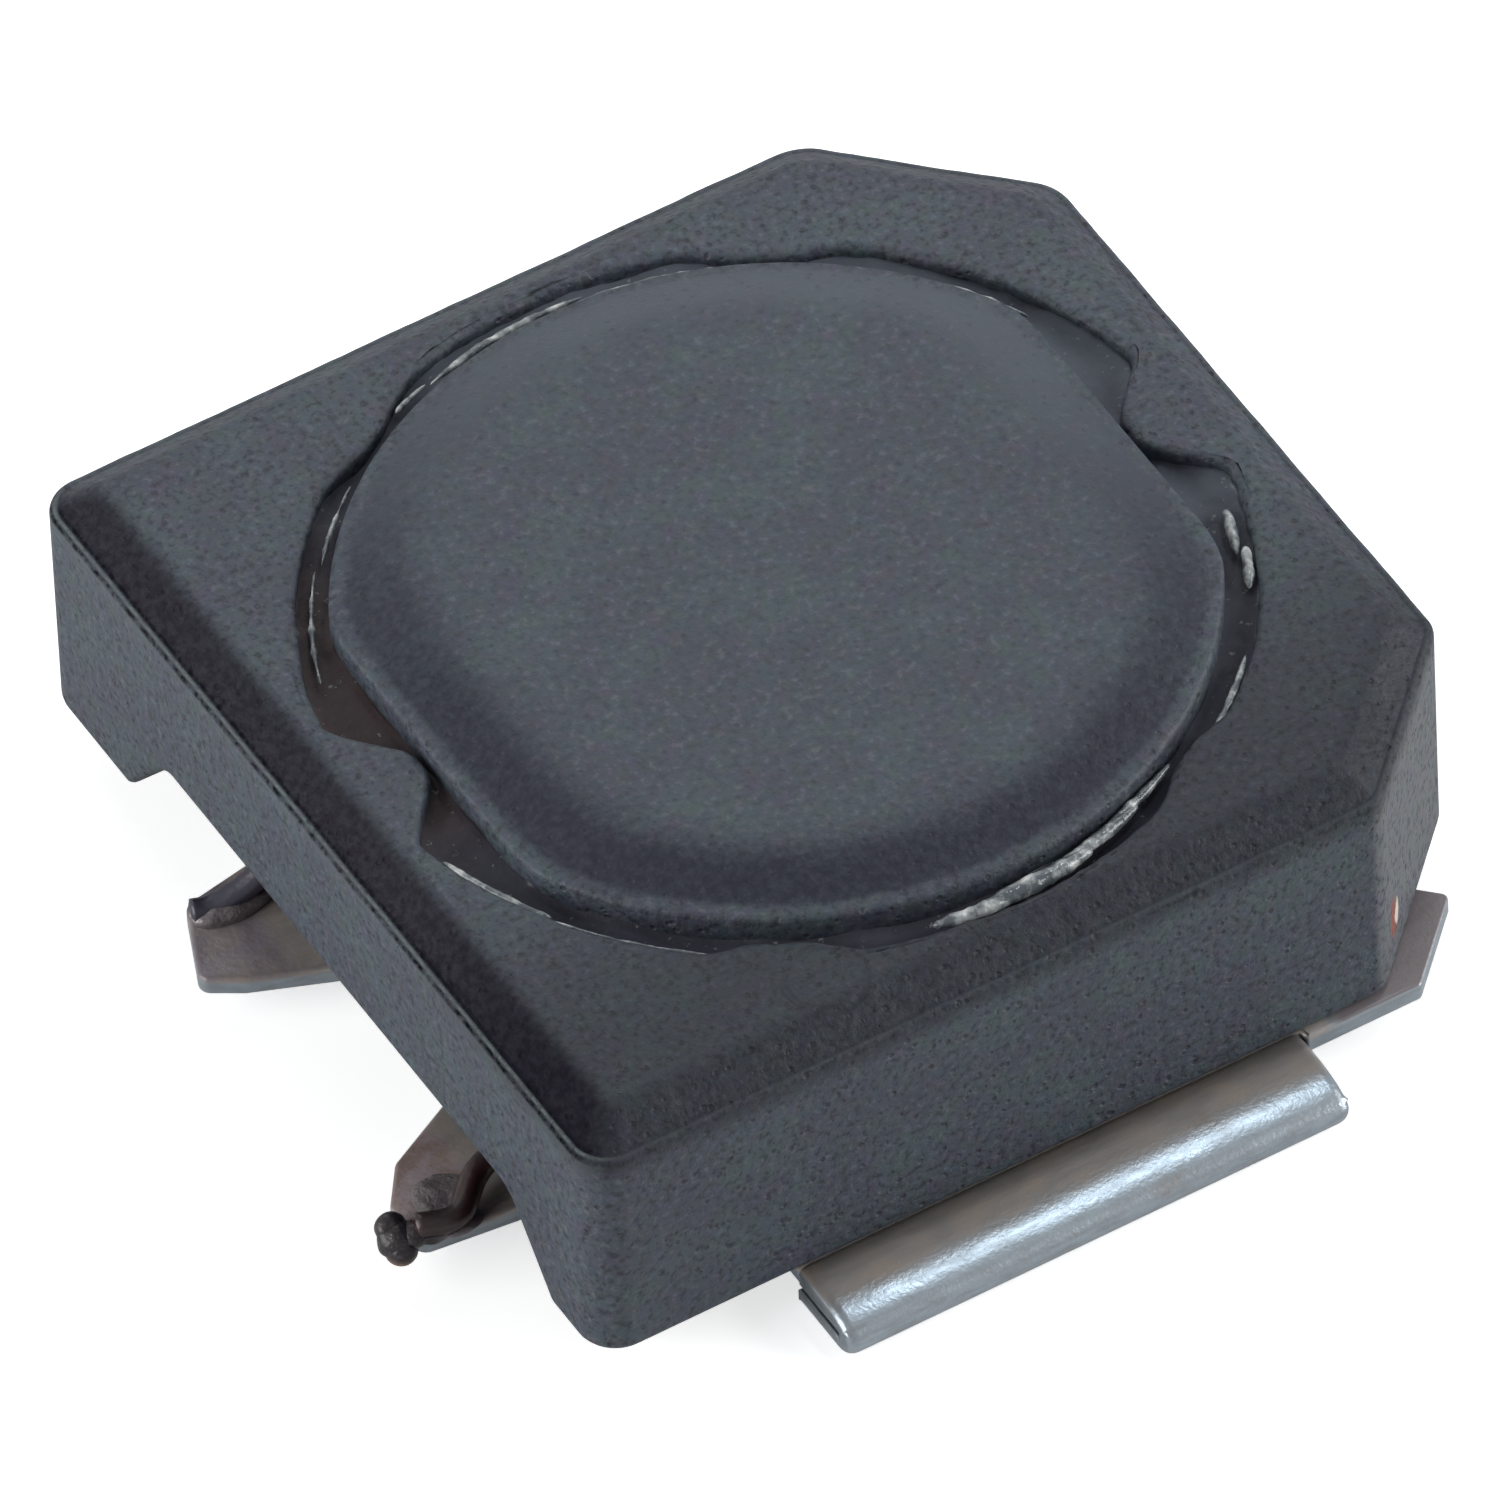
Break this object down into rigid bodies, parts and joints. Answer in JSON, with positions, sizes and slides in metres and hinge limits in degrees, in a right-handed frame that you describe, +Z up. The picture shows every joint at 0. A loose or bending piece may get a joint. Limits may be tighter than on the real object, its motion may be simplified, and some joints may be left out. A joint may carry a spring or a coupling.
{
  "type": "shielded smd inductor",
  "caption": "Shielded surface-mount power inductor: wound ferrite drum in a square ferrite ring on folded solder terminals.",
  "frame": {"origin": "on the board plane, under the middle of the whole outline, wire tabs and feet included", "axes": "+Z up from the board; +X towards the two chamfered corners, so -X is the arch side with the wire tabs; +Y from the front foot to the back foot"},
  "size_m": [0.0088, 0.0094, 0.003],
  "materials": {
    "ring_ferrite": "matte pressed and sintered ferrite, dark blue grey with fine speckle",
    "drum_ferrite": "matte ground ferrite, dark blue grey",
    "enamelled_wire": "glossy brown enamel over copper",
    "tinned_sheet": "tin-plated sheet, dull silver with faint draw marks",
    "solder": "dull solder, stained with brown flux",
    "clear_adhesive": "glossy whitish clear adhesive",
    "amber_adhesive": "amber epoxy"
  },
  "bodies": {
    "root": {"ring_core": "ring_ferrite", "drum_core": "drum_ferrite", "winding": "enamelled_wire", "terminal_front": "tinned_sheet", "terminal_back": "tinned_sheet", "solder_front": "solder", "solder_back": "solder", "ring_adhesive": "clear_adhesive", "plate_adhesive": "amber_adhesive"}
  },
  "joints": []
}
